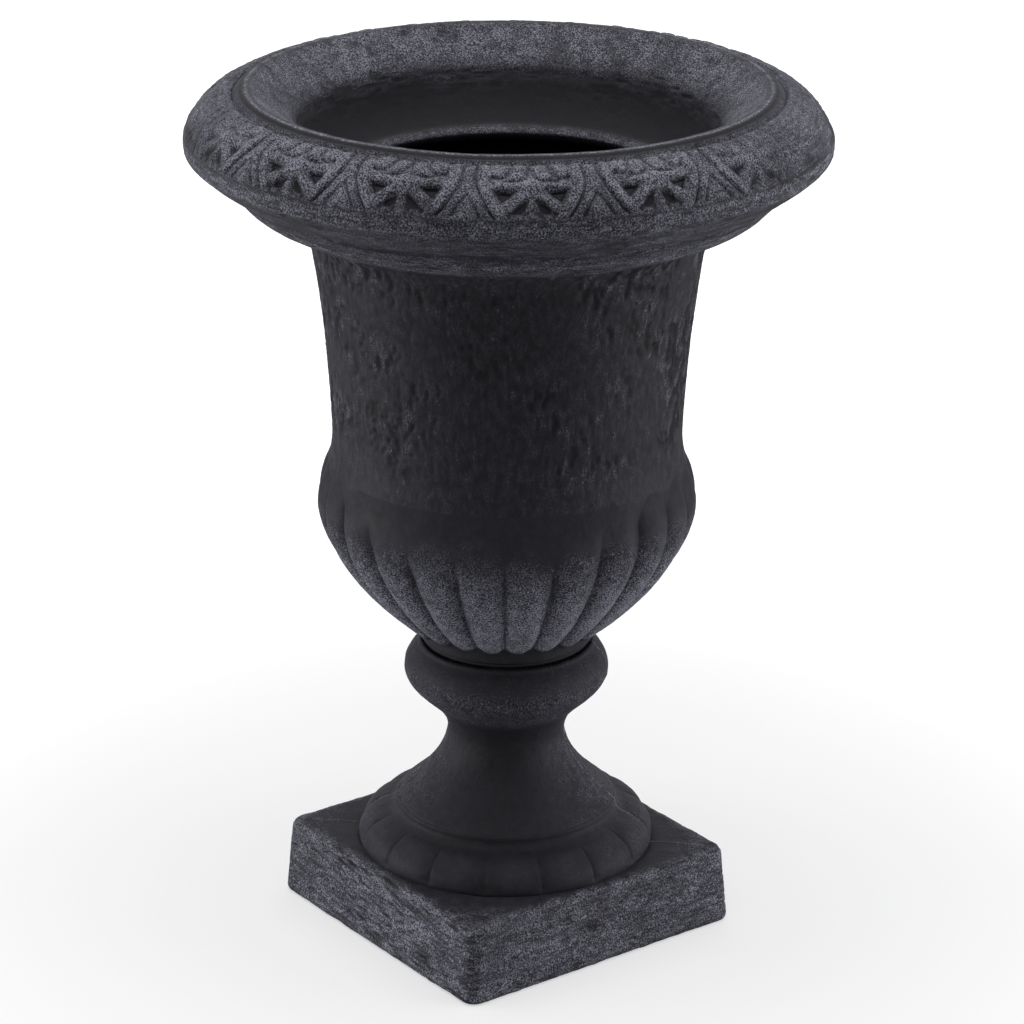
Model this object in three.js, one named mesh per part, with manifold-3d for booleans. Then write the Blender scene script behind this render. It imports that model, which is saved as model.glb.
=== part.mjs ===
// A garden urn planter in moulded resin: a campana vase with a gadrooned bowl and a hollow rolled rim,
// bolted through a rubber gasket to a stem that stands on a lobed foot and a square plinth.
// Millimetres, +Z up. The origin is the centre of the plinth's underside, and its sides face X and Y.
import * as THREE from "three";
import { mergeVertices } from "three/addons/utils/BufferGeometryUtils.js";
import Module from "manifold-3d";

const wasm = await Module();
wasm.setup();

// ---- Driving dimensions ----------------------------------------------------------------------------

const seatGap = 0.3; // between two pieces that rest on each other
const wall = 4; // of both mouldings
const floorThickness = 6; // of the vase, where the bolt and the drain pass
const topPlateThickness = 5; // of the pedestal, under the vase

// Plinth
const plinthWidth = 214; // at the ground
const plinthHeight = 52.5;
const plinthDraft = 3.3; // each side leans in this far from the ground to the top edge
const plinthCornerRadius = 9;
const plinthEdgeRadius = 3.5; // of the rounded top and bottom edges
const plinthRimWidth = 10; // of the flat underside that stands on the ground

// Foot, from the plinth up
const footRadius = 96.3; // of the lobed torus where it meets the plinth
const footBelly = 1.5; // how far the torus swells past that
const footHeight = 20.5;
const footTopRadius = 80;
const footLobeCount = 16;
const footLobeDepth = 1.6;
const footCoveHeight = 6; // from the torus up to the bead
const footBeadRadius = 72;
const footBeadHeight = 6;

// Stem and its knop
const flareHeight = 45; // from the bead up to the waist
const waistRadius = 38;
const waistToKnop = 43;
const knopRadius = 66.2;
const knopToSeat = 20;
const seatRadius = 56.5; // of the joint between stem and vase

// Vase, from its seat up
const gasketThickness = 2.4;
const seatNeckHeight = 11; // from the seat up to the gadroons' tips
const gadroonTipRadius = 65.5;
const bowlHeight = 84; // from the tips up to the widest ring
const bowlRadius = 121;
const bowlTurnRadius = 84; // where the bowl's curve turns from flat to steep
const bowlTurnHeight = 15; // of that turn over the tips
const bowlTopReach = 33; // how far down from the widest ring the bowl stays upright
const gadroonCount = 24;
const gadroonDepth = 5.5;
const shoulderHeight = 34; // from the widest ring up to the neck
const neckFootRadius = 110.6;
const neckHeight = 140;
const neckTopRadius = 124;

// Rim, from the neck up
const neckCoveHeight = 16;
const neckRingRadius = 147.5;
const ovoloHeight = 21;
const ovoloRadius = 173.5;
const rimCoveHeight = 19;
const rimRadius = 200.5;
const rimEdgeHeight = 11;
const rimSlopeHeight = 25; // the sloping band that carries the ornament
const crownRadius = 172; // the upper edge of that band
const beadRadius = 161; // the crest of the bead round the mouth
const beadHeight = 3; // of the crest over the band's upper edge

// Leaves on the sloping band, each sunk in a frame that narrows downwards
const leafCount = 16;
const leafTurn = 12.3; // degrees from +X round to the middle of the first leaf
const leafDepth = 3; // of the ground inside a frame
const leafRise = 2.4; // of the leaf over that ground
const leafWidth = 0.68; // of the ground at its top, as a share of the pitch
const leafTaper = 0.34; // how much of that share it has lost at the bottom
const leafDomesTo = 0.38; // share of the way down where the leaf's upper domes end
const leafBarTo = 0.52; // and where the bar under them ends
const leafLobeWidth = 0.15; // of each of the three lobes under the bar

// Funnel inside the mouth
const mouthSlopeHeight = 23; // from the bead down to the edge of the steep wall
const funnelRadius = 131;
const funnelHeight = 34; // from that edge down to the throat
const throatRadius = 100;
const throatLipHeight = 7;

// Fasteners and the drain
const boltRadius = 4;
const boltClearance = 0.6; // round the bolt, in everything it passes through
const boltHeadAcrossFlats = 13;
const boltHeadHeight = 5.3;
const boltTail = 3; // past the nut
const nutHeight = 6.5;
const washerRadius = 12;
const washerThickness = 1.6;
const sealRadius = 14;
const sealThickness = 2;
const gasketWidth = 12;
const gasketInset = 2; // from the edge of the joint
const drainRadius = 8;
const drainOffset = 28; // from the bolt to the drain hole
const drainPlugClearance = 0.3;
const drainPlugLip = 3; // of its head past the hole
const drainPlugHeadHeight = 3.5;
const drainPlugTaper = 0.8;
const drainPassClearance = 1.5; // of the hole in the pedestal, past the one in the vase

// Facets
const roundSides = 36;
const insideSides = 24; // of the moulded hollows that only the hardware and the soil meet
const smallSides = 16;
const sidesPerLobe = 4;
const sidesPerLeaf = 10;

// ---- Heights and sizes that follow -----------------------------------------------------------------

const footTopZ = plinthHeight + footHeight;
const footBeadZ = footTopZ + footCoveHeight;
const flareZ = footBeadZ + footBeadHeight;
const waistZ = flareZ + flareHeight;
const knopZ = waistZ + waistToKnop;
const pedestalTopZ = knopZ + knopToSeat;
const gasketZ = pedestalTopZ + seatGap;
const vaseSeatZ = gasketZ + gasketThickness + seatGap;
const tipZ = vaseSeatZ + seatNeckHeight;
const bowlZ = tipZ + bowlHeight;
const neckFootZ = bowlZ + shoulderHeight;
const neckTopZ = neckFootZ + neckHeight;
const neckRingZ = neckTopZ + neckCoveHeight;
const ovoloZ = neckRingZ + ovoloHeight;
const rimEdgeZ = ovoloZ + rimCoveHeight;
const rimTopZ = rimEdgeZ + rimEdgeHeight;
const crownZ = rimTopZ + rimSlopeHeight;
const beadZ = crownZ + beadHeight;
const funnelZ = beadZ - mouthSlopeHeight;
const throatZ = funnelZ - funnelHeight;
const throatLipZ = throatZ - throatLipHeight;

const boltHoleRadius = boltRadius + boltClearance;
const vaseFloorZ = vaseSeatZ + floorThickness;
const topPlateZ = pedestalTopZ - topPlateThickness;
const sealZ = vaseFloorZ + seatGap;
const headWasherZ = sealZ + sealThickness + seatGap;
const boltHeadZ = headWasherZ + washerThickness + seatGap;
const nutWasherZ = topPlateZ - seatGap - washerThickness;
const nutZ = nutWasherZ - seatGap - nutHeight;
const boltEndZ = nutZ - boltTail;

// ---- Closed bodies from rings of points ------------------------------------------------------------

// A ring of points at one height. A round one may swell or sink with the angle.
function roundRing(swell = () => 0) {
  return (radius, z, sides) =>
    Array.from({ length: sides }, (_, i) => {
      const angle = (2 * Math.PI * i) / sides;
      const r = radius + swell(angle, z);
      return new THREE.Vector3(r * Math.cos(angle), r * Math.sin(angle), z);
    });
}

// A ring whose points stand out square to the outline, by a relief of the angle and the share of the stretch.
// It starts a little past +X, so that points fall on the middle of each repeat.
function carvedRing(relief, firstAngle) {
  return (radius, z, sides, share, tangent) =>
    Array.from({ length: sides }, (_, i) => {
      const angle = (2 * Math.PI * i) / sides + (firstAngle % ((2 * Math.PI) / sides));
      const out = relief(angle, share);
      const r = radius + out * tangent.y;
      return new THREE.Vector3(r * Math.cos(angle), r * Math.sin(angle), z - out * tangent.x);
    });
}

// A square ring with rounded corners: each quarter is half a side, a corner and half a side, in equal
// shares.
function squareRing(half, z, sides) {
  const quarter = sides / 4;
  const share = quarter / 3;
  const straight = half - plinthCornerRadius;
  return Array.from({ length: sides }, (_, i) => {
    const step = i % quarter;
    const turn = (Math.PI / 2) * Math.floor(i / quarter);
    const corner = THREE.MathUtils.clamp(step / share - 1, 0, 1) * (Math.PI / 2);
    const before = Math.min(step / share, 1);
    const after = Math.max(step / share - 2, 0);
    const x = straight * (1 - after) + plinthCornerRadius * Math.cos(corner);
    const y = straight * before + plinthCornerRadius * Math.sin(corner);
    return new THREE.Vector3(x, y, z).applyAxisAngle(new THREE.Vector3(0, 0, 1), turn);
  });
}

// An outline in radius and height that is turned round the axis, stretch by stretch. Each stretch has its
// own kind of ring, and the last one closes on the first. It runs up the outside and down the inside, so
// faces point out.
class Outline {
  constructor(radius, z) {
    this.at = new THREE.Vector2(radius, z);
    this.rings = [];
    this.sides = roundSides;
  }

  facets(sides) {
    this.sides = sides;
    return this;
  }

  along(curve, end, { steps = 1, ring = roundRing(), sides = this.sides } = {}) {
    for (let i = 0; i < steps; i++) {
      const share = i / steps;
      const point = curve.getPoint(share);
      this.rings.push(ring(point.x, point.y, sides, share, curve.getTangent(share)));
    }
    this.at = end;
    return this;
  }

  line(radius, z, how) {
    const end = new THREE.Vector2(radius, z);
    return this.along(new THREE.LineCurve(this.at, end), end, how);
  }

  bend(viaRadius, viaZ, radius, z, how) {
    const end = new THREE.Vector2(radius, z);
    const via = new THREE.Vector2(viaRadius, viaZ);
    return this.along(new THREE.QuadraticBezierCurve(this.at, via, end), end, how);
  }

  sweep(firstRadius, firstZ, secondRadius, secondZ, radius, z, how) {
    const end = new THREE.Vector2(radius, z);
    const first = new THREE.Vector2(firstRadius, firstZ);
    const second = new THREE.Vector2(secondRadius, secondZ);
    return this.along(new THREE.CubicBezierCurve(this.at, first, second, end), end, how);
  }

  geometry() {
    const starts = [];
    let count = 0;
    for (const ring of this.rings) {
      starts.push(count);
      count += ring.length;
    }
    const faces = [];
    this.rings.forEach((ring, i) => {
      const next = (i + 1) % this.rings.length;
      joinRings(starts[i], ring.length, starts[next], this.rings[next].length, faces);
    });
    return new THREE.BufferGeometry().setFromPoints(this.rings.flat()).setIndex(faces);
  }
}

// The triangles between two rings that may have different numbers of points: whichever lags takes the
// next step.
function joinRings(lowStart, lowCount, highStart, highCount, faces) {
  let low = 0;
  let high = 0;
  while (low < lowCount || high < highCount) {
    const lowPoint = lowStart + (low % lowCount);
    const highPoint = highStart + (high % highCount);
    const lowLags = low < lowCount && (low + 1) / lowCount <= (high + 1) / highCount;
    if (high >= highCount || lowLags) {
      low += 1;
      faces.push(lowPoint, lowStart + (low % lowCount), highPoint);
    } else {
      high += 1;
      faces.push(lowPoint, highStart + (high % highCount), highPoint);
    }
  }
}

// How far an angle lies from the middle of its lobe, in half lobes: 0 on the crest and 1 in the groove.
function acrossLobe(angle, count, phase) {
  const turns = (angle * count) / (2 * Math.PI) - phase;
  return 2 * Math.abs(turns - Math.round(turns));
}

// ---- Joins and cuts --------------------------------------------------------------------------------

function toSolid(geometry) {
  const bare = geometry.clone().deleteAttribute("normal").deleteAttribute("uv");
  const merged = mergeVertices(bare, 1e-4);
  return new wasm.Manifold(
    new wasm.Mesh({
      numProp: 3,
      vertProperties: new Float32Array(merged.attributes.position.array),
      triVerts: new Uint32Array(merged.index.array),
    }),
  );
}

function toGeometry(solid) {
  const mesh = solid.getMesh();
  return new THREE.BufferGeometry()
    .setAttribute("position", new THREE.BufferAttribute(mesh.vertProperties, 3))
    .setIndex(new THREE.BufferAttribute(mesh.triVerts, 1));
}

// An upright prism or cone frustum between two heights.
function upright(bottomRadius, topRadius, lowZ, highZ, sides = smallSides) {
  const body = new THREE.CylinderGeometry(topRadius, bottomRadius, highZ - lowZ, sides);
  return body.rotateX(Math.PI / 2).translate(0, 0, (lowZ + highZ) / 2);
}

function drill(geometry, radius, lowZ, highZ, x = 0) {
  const tool = upright(radius, radius, lowZ, highZ).translate(x, 0, 0);
  return toGeometry(toSolid(geometry).subtract(toSolid(tool)));
}

function flatRing(innerRadius, outerRadius, lowZ, thickness, sides = smallSides) {
  return new Outline(outerRadius, lowZ)
    .facets(sides)
    .line(outerRadius, lowZ + thickness)
    .line(innerRadius, lowZ + thickness)
    .line(innerRadius, lowZ)
    .line(outerRadius, lowZ)
    .geometry();
}

// ---- Vase ------------------------------------------------------------------------------------------

// Gadroons: convex lobes with sharp grooves between. They fade in over the tips, are deepest round the
// belly, and end under the neck in round arches, because each lobe narrows to nothing as it comes up over
// the shoulder.
function gadroons(angle, z) {
  const deepZ = tipZ + bowlHeight * 0.6;
  const archZ = bowlZ + shoulderHeight * 0.35;
  const rise = 0.35 + 0.65 * THREE.MathUtils.smoothstep(z, tipZ, deepZ);
  const fall = 1 - THREE.MathUtils.smoothstep(z, archZ, neckFootZ);
  const arch = THREE.MathUtils.clamp((z - archZ) / (neckFootZ - archZ), 0, 0.95);
  const lobeWidth = Math.sqrt(1 - arch * arch);
  const across = Math.min(acrossLobe(angle, gadroonCount, 0) / lobeWidth, 1);
  return -gadroonDepth * rise * fall * across * across;
}

// A leaf and its sunk ground, from the rim's edge at share 0 up to the crown at share 1: two pairs of domes at
// the top, a bar across, and three lobes that spread below it.
function leaves(angle, share) {
  const { smoothstep } = THREE.MathUtils;
  const across = acrossLobe(angle, leafCount, (leafTurn * leafCount) / 360);
  const down = 1 - share;
  const groundEdge = leafWidth - leafTaper * down * down;
  const ends = smoothstep(share, 0, 0.1) * smoothstep(down, 0, 0.1);
  const ground = smoothstep(groundEdge - across, -0.02, 0.12) * ends;
  const domes = (1 - Math.cos(5 * Math.PI * across)) / 2;
  const sideLobe = down - leafBarTo;
  const lobes = Math.max(0, 1 - across / leafLobeWidth, 1 - Math.abs(across - sideLobe) / leafLobeWidth);
  const leaf = down < leafDomesTo ? domes : down < leafBarTo ? 1 : lobes;
  return (leafRise * leaf - leafDepth) * ground;
}

function vaseGeometry() {
  const lobed = { ring: roundRing(gadroons), sides: gadroonCount * sidesPerLobe };
  const leafAngle = THREE.MathUtils.degToRad(leafTurn);
  const leafy = { ring: carvedRing(leaves, leafAngle), sides: leafCount * sidesPerLeaf, steps: 8 };
  const belly = { ...lobed, steps: 6 };
  const shoulder = { ...lobed, steps: 5 };
  const turnZ = tipZ + bowlTurnHeight;
  const neckMidZ = neckFootZ + neckHeight * 0.6;
  const throatTop = throatRadius + 1;
  const inner = wall + gadroonDepth; // from the gadroons' crests to the smooth inside
  const innerFloorRadius = gadroonTipRadius - inner;
  const outline = new Outline(boltHoleRadius, vaseSeatZ)
    .line(seatRadius, vaseSeatZ)
    .line(seatRadius, vaseSeatZ + seatNeckHeight / 2)
    .bend(seatRadius, tipZ - seatNeckHeight / 5, gadroonTipRadius, tipZ)
    // the gadrooned bowl and its shoulder
    .sweep(bowlTurnRadius, turnZ, bowlRadius, bowlZ - bowlTopReach, bowlRadius, bowlZ, belly)
    .sweep(bowlRadius, bowlZ + 12, neckFootRadius + 4.4, neckFootZ - 12, neckFootRadius, neckFootZ, shoulder)
    // the neck, a slow curve that flares into the rim's underside
    .bend(neckFootRadius + 3, neckMidZ, neckTopRadius, neckTopZ, { steps: 4 })
    .bend(neckTopRadius + 5, neckRingZ - 4, neckRingRadius, neckRingZ - 1, { steps: 3 })
    .line(neckRingRadius + 1, neckRingZ + 1)
    .bend(neckRingRadius + 12, neckRingZ + 3, ovoloRadius - 3, ovoloZ - 4, { steps: 3 })
    .line(ovoloRadius, ovoloZ)
    .bend(ovoloRadius + 12, ovoloZ + 6, rimRadius - 3, rimEdgeZ - 2, { steps: 3 })
    // the rim's edge, the band that carries the ornament, and the bead round the mouth
    .line(rimRadius - 0.5, rimEdgeZ + 1)
    .bend(rimRadius + 0.5, (rimEdgeZ + rimTopZ) / 2, rimRadius, rimTopZ, { steps: 2 })
    .bend(rimRadius - 8, crownZ - 6, crownRadius, crownZ, leafy)
    .line(crownRadius - 4, crownZ - 0.5)
    .bend(beadRadius + 4, beadZ, beadRadius, beadZ, { steps: 2 })
    .bend(beadRadius - 4, beadZ, beadRadius - 6, beadZ - 2.5, { steps: 2 })
    // the funnel down to the throat
    .bend(beadRadius - 20, beadZ - 12, funnelRadius, funnelZ, { steps: 3 })
    .sweep(funnelRadius - 5, funnelZ - 14, throatRadius + 14, throatZ + 6, throatTop, throatZ, { steps: 4 })
    .line(throatRadius - 1, throatZ - 2)
    .line(throatRadius, throatLipZ + 1)
    .line(throatRadius + 2, throatLipZ)
    // back up behind the funnel, and down the inside of the rim, neck and bowl
    .facets(insideSides)
    .bend(throatRadius + 12, throatLipZ + 2, funnelRadius + wall - 2, funnelZ - 10, { steps: 3 })
    .bend(funnelRadius + wall + 8, beadZ - 14, beadRadius, beadZ - wall, { steps: 2 })
    .line(crownRadius, crownZ - wall)
    .line(rimRadius - wall - 5, rimTopZ + 4)
    .line(rimRadius - wall, rimTopZ - 3)
    .line(rimRadius - wall, rimEdgeZ + wall)
    .line(ovoloRadius - 1, ovoloZ + wall)
    .line(neckRingRadius, neckRingZ + wall)
    .bend(neckTopRadius + 1, neckRingZ + 1, neckTopRadius - wall, neckTopZ, { steps: 3 })
    .bend(neckFootRadius + 3 - wall, neckMidZ, neckFootRadius - wall, neckFootZ, { steps: 4 })
    .bend(neckFootRadius - wall, neckFootZ - 14, bowlRadius - inner, bowlZ, { steps: 3 })
    .sweep(bowlRadius - inner, bowlZ - bowlTopReach, bowlTurnRadius - inner, turnZ, innerFloorRadius, tipZ, {
      steps: 5,
    })
    .line(innerFloorRadius - 4, vaseFloorZ)
    .line(boltHoleRadius, vaseFloorZ)
    .line(boltHoleRadius, vaseSeatZ);
  return drill(outline.geometry(), drainRadius, vaseSeatZ - 1, vaseFloorZ + 1, drainOffset);
}

// ---- Pedestal --------------------------------------------------------------------------------------

// The foot's shallow lobes, deepest at mid height. A groove lies on each corner of the plinth.
function footLobes(angle, z) {
  const height = THREE.MathUtils.clamp((z - plinthHeight) / footHeight, 0, 1);
  const across = acrossLobe(angle, footLobeCount, 0.5);
  return -footLobeDepth * Math.sin(Math.PI * height) * across * across;
}

function pedestalGeometry() {
  const square = { ring: squareRing };
  const lobed = { ring: roundRing(footLobes), sides: footLobeCount * sidesPerLobe, steps: 6 };
  const groundHalf = plinthWidth / 2;
  const footBellyZ = plinthHeight + footHeight / 3;
  const innerWaistRadius = waistRadius - wall;
  const innerBeadRadius = footBeadRadius - wall;
  const topHalf = groundHalf - plinthDraft;
  const innerTopZ = plinthHeight - wall;
  const innerFootRadius = footRadius - footLobeDepth - wall;
  const outline = new Outline(groundHalf - plinthEdgeRadius, 0)
    // the plinth's side and rounded edges, then its flat top, which ends at the lobed torus
    .bend(groundHalf, 0, groundHalf, plinthEdgeRadius, { ...square, steps: 2 })
    .line(topHalf, plinthHeight - plinthEdgeRadius, square)
    .bend(topHalf, plinthHeight, topHalf - plinthEdgeRadius, plinthHeight, { ...square, steps: 3 })
    .line(footRadius, plinthHeight, square)
    .sweep(footRadius + footBelly, footBellyZ, footRadius - 3, footTopZ - 3, footTopRadius, footTopZ, lobed)
    // the cove and the bead over it
    .bend(footBeadRadius + 1, footTopZ + 1, footBeadRadius, footBeadZ, { steps: 2 })
    .bend(footBeadRadius + 1, (footBeadZ + flareZ) / 2, footBeadRadius - 3, flareZ, { steps: 2 })
    // the flare up to the waist, and the knop under the vase
    .sweep(footBeadRadius - 13, flareZ + 8, waistRadius + 2, waistZ - 22, waistRadius, waistZ, { steps: 7 })
    .sweep(waistRadius, waistZ + 20, knopRadius, knopZ - 16, knopRadius, knopZ, { steps: 8 })
    .bend(knopRadius, knopZ + 9, seatRadius + 1, pedestalTopZ - 3, { steps: 4 })
    .line(seatRadius, pedestalTopZ)
    .line(boltHoleRadius, pedestalTopZ)
    // down the inside, to the rim that stands on the ground
    .facets(insideSides)
    .line(boltHoleRadius, topPlateZ)
    .line(seatRadius - wall, topPlateZ)
    .bend(knopRadius - wall, topPlateZ - 3, knopRadius - wall, knopZ, { steps: 2 })
    .sweep(knopRadius - wall, knopZ - 13, innerWaistRadius, waistZ + 23, innerWaistRadius, waistZ, { steps: 5 })
    .sweep(innerWaistRadius, waistZ - 22, innerBeadRadius - 13, flareZ + 8, innerBeadRadius, footBeadZ - wall, {
      steps: 4,
    })
    .line(footTopRadius - wall, footTopZ - wall)
    .bend(innerFootRadius, footTopZ - wall, innerFootRadius, innerTopZ, { steps: 3 })
    .line(topHalf - wall, innerTopZ)
    .line(groundHalf - plinthRimWidth, wall, square)
    .line(groundHalf - plinthRimWidth, 0, square)
    .line(groundHalf - plinthEdgeRadius, 0, square);
  const passRadius = drainRadius + drainPassClearance;
  return drill(outline.geometry(), passRadius, topPlateZ - 1, pedestalTopZ + 1, drainOffset);
}

// ---- Gasket, bolt set and drain plug ---------------------------------------------------------------

function gasketGeometry() {
  const outerRadius = seatRadius - gasketInset;
  return flatRing(outerRadius - gasketWidth, outerRadius, gasketZ, gasketThickness, insideSides);
}

function washerGeometry(lowZ) {
  return flatRing(boltHoleRadius, washerRadius, lowZ, washerThickness);
}

function hexagon(lowZ, height) {
  const cornerRadius = boltHeadAcrossFlats / Math.sqrt(3);
  return upright(cornerRadius, cornerRadius, lowZ, lowZ + height, 6);
}

function boltGeometry() {
  const shank = toSolid(upright(boltRadius, boltRadius, boltEndZ, boltHeadZ + boltHeadHeight / 2));
  return toGeometry(shank.add(toSolid(hexagon(boltHeadZ, boltHeadHeight))));
}

function nutGeometry() {
  return drill(hexagon(nutZ, nutHeight), boltRadius + seatGap, nutZ - 1, nutZ + nutHeight + 1);
}

// A stopper: a head that lies on the floor of the bowl, and a shank that tapers down through the drain
// hole.
function drainPlugGeometry() {
  const shankRadius = drainRadius - drainPlugClearance;
  const headRadius = drainRadius + drainPlugLip;
  const headZ = vaseFloorZ + seatGap;
  const endZ = vaseSeatZ;
  return new THREE.LatheGeometry(
    [
      new THREE.Vector2(0, endZ),
      new THREE.Vector2(shankRadius - drainPlugTaper, endZ),
      new THREE.Vector2(shankRadius, headZ),
      new THREE.Vector2(headRadius, headZ),
      new THREE.Vector2(headRadius, headZ + drainPlugHeadHeight / 2),
      new THREE.Vector2(headRadius - drainPlugHeadHeight / 2, headZ + drainPlugHeadHeight),
      new THREE.Vector2(0, headZ + drainPlugHeadHeight),
    ],
    smallSides,
  )
    .rotateX(Math.PI / 2)
    .translate(drainOffset, 0, 0);
}

// ---- The assembly ----------------------------------------------------------------------------------

const stoneResin = { color: 0x2b2b31, roughness: 0.75, metalness: 0 };
const zincSteel = { color: 0xa9abae, roughness: 0.4, metalness: 1 };
const blackRubber = { color: 0x141414, roughness: 0.9, metalness: 0 };

function piece(name, geometry, finish) {
  const mesh = new THREE.Mesh(geometry, new THREE.MeshStandardMaterial(finish));
  mesh.name = name;
  return mesh;
}

const urn = new THREE.Group();
urn.add(
  piece("pedestal_shell", pedestalGeometry(), stoneResin),
  piece("seat_gasket", gasketGeometry(), blackRubber),
  piece("vase_shell", vaseGeometry(), stoneResin),
  piece("bolt_seal", flatRing(boltHoleRadius, sealRadius, sealZ, sealThickness), blackRubber),
  piece("bolt_washer", washerGeometry(headWasherZ), zincSteel),
  piece("tie_bolt", boltGeometry(), zincSteel),
  piece("nut_washer", washerGeometry(nutWasherZ), zincSteel),
  piece("hex_nut", nutGeometry(), zincSteel),
  piece("drain_plug", drainPlugGeometry(), blackRubber),
);

export default urn;
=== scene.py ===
"""A garden urn planter of moulded stone resin: a rolled rim with a leaf border, a gadrooned bowl,
a stem on a lobed foot, and a square plinth.

Shapes are worked out in millimetres as whole numpy grids and go into meshes in metres. Most
pieces are turned: a closed outline of radius and height is carried round the upright axis, and a
relief is added along its normal. The vase and the pedestal are each one moulding, split here
along their creases. Each point also has a sand value, from 0 where the resin is dark and smooth
to 1 where it is pale with sand, which the finishes read. In places the sand value also carries
painted light and shade: paler on lit crests, lips and lower lobes, and towards the sides, and
darker in grooves and on slopes turned from the light.
"""

import itertools
import math

import bpy
import numpy as np
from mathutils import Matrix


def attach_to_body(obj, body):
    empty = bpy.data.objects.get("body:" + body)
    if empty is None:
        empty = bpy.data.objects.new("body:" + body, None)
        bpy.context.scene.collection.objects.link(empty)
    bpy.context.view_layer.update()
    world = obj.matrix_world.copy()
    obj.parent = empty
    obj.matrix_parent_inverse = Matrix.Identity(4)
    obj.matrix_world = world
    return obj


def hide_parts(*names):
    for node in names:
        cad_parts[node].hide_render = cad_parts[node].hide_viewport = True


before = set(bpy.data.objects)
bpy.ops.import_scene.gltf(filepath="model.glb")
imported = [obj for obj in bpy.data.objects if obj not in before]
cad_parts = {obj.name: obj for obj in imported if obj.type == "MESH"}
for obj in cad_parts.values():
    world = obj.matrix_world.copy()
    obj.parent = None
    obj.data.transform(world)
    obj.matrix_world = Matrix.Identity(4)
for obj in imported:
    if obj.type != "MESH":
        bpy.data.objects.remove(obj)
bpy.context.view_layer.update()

MM = 0.001
FINE = 0.25  # millimetres between the points of an outline before its rows are picked
PARTING = math.radians(45)  # the mould's halves meet in the upright plane through this direction
PLAIN_SAND = 0.12  # the sand value of the walls inside, which carry no relief

# Ornament
LEAVES = 16
LEAF_PHASE = math.radians(12.3)
LEAF_WIDTH = 73.0  # the pitch of the leaves along the band
GADROONS = 24
FOOT_LOBES = 16

# The leaves' band, measured along its slope, and the height of its curve: start + rise t - sag t^2
BAND_HEIGHT = 39.5
BAND_START, BAND_RISE, BAND_SAG = 532.0, 38.0, 13.2

# Heights above the ground where one piece meets the next
PLINTH_TOP = 52.4
PLATE_UNDERSIDE = 188.0  # of the plate that closes the top of the stem
PEDESTAL_TOP = 192.9
VASE_SEAT = 196.1
BOWL_FLOOR = 202.0
NECK_TOP = 480.6

# Heights on the pieces, which their reliefs and sand follow
FLARE_TOP = 135.0  # where the stem's flare ends under the waist
ARCH_FOOT = 298.0  # where the gadroons' arches spring
NECK_FADE = (322, 350)  # the smooth foot of the neck gives way to pits
UNDER_RING = 491.0  # the middle of the ring under the rim
RING_GROOVE = 500.0
RIM_EDGE = (517, 522)  # the underside's cove gives way to the rim's upright edge
EDGE_GROOVE = 531.0

# Radii in the mouth
LIP = 101.5
LEDGE = 132.0
BEAD_CREST = 161.9

# Bolt set and drain
BOLT_BORE = 4.7  # radius of the hole through the plates, seal and washers
HEX_ACROSS = 12.95  # across the flats of the bolt's head and of the nut
DRAIN_PLACE = 28.0  # from the axis out to the middle of the drain hole


# ---- Noise and small curves --------------------------------------------------------------------


def lattice_noise(x, y, z, seed):
    """Noise from -1 to 1: random values at whole numbers, blended by 3t^2 - 2t^3 on each axis."""
    chance = np.random.default_rng(seed)
    table = chance.permutation(256)
    values = chance.uniform(-1, 1, 256)
    floors = [np.floor(a).astype(int) for a in (x, y, z)]
    steps = [a - floor for a, floor in zip((x, y, z), floors)]
    blends = [3 * t**2 - 2 * t**3 for t in steps]
    total = 0
    for corner in itertools.product((0, 1), repeat=3):
        index = 0
        weight = 1
        for floor, blend, side in zip(floors, blends, corner):
            index = table[(index + floor + side) & 255]
            weight = weight * (blend if side else 1 - blend)
        total = total + weight * values[index]
    return total


def cloud(place, size, seed, octaves=3):
    """Lattice noise of one size in millimetres, with octaves of half the size and height."""
    size = np.broadcast_to(size, 3)
    total = 0
    for octave in range(octaves):
        x, y, z = (a * 2**octave / s for a, s in zip(place, size))
        total = total + lattice_noise(x, y, z, seed + octave) / 2**octave
    return total / (2 - 2.0 ** (1 - octaves))


def ramp(value, low, high):
    """0 below low, 1 above high, and 3t^2 - 2t^3 between."""
    t = np.clip((value - low) / (high - low), 0, 1)
    return t * t * (3 - 2 * t)


def bell(distance, width):
    """1 on a line and falling away from it as exp(-(d / width)^2)."""
    return np.exp(-((distance / width) ** 2))


def line_distance(x, y, *points):
    """The distance from each (x, y) to an open chain of straight lines through the points."""
    nearest = np.inf
    for (x0, y0), (x1, y1) in zip(points, points[1:]):
        dx, dy = x1 - x0, y1 - y0
        t = np.clip(((x - x0) * dx + (y - y0) * dy) / (dx * dx + dy * dy), 0, 1)
        nearest = np.minimum(nearest, np.hypot(x - x0 - t * dx, y - y0 - t * dy))
    return nearest


def inside_triangle(x, y, *corners):
    """How deep each (x, y) lies in a triangle: the least distance to a side, negative outside."""
    (x0, y0), (x1, y1), (x2, y2) = corners
    turn = math.copysign(1, (x1 - x0) * (y2 - y0) - (x2 - x0) * (y1 - y0))
    depth = np.inf
    for (ax, ay), (bx, by) in zip(corners, corners[1:] + corners[:1]):
        side = ((bx - ax) * (y - ay) - (by - ay) * (x - ax)) / math.hypot(bx - ax, by - ay)
        depth = np.minimum(depth, turn * side)
    return depth


def mound(x, y, centre, half, turn=0.0):
    """A low dome: sqrt(1 - e^2), where e is 0 at its centre and 1 on its ellipse, and 0 beyond."""
    dx, dy = x - centre[0], y - centre[1]
    c, s = math.cos(turn), math.sin(turn)
    edge = ((c * dx + s * dy) / half[0]) ** 2 + ((c * dy - s * dx) / half[1]) ** 2
    return np.sqrt(np.clip(1 - edge, 0, 1))


# ---- Closed bodies -----------------------------------------------------------------------------


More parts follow.
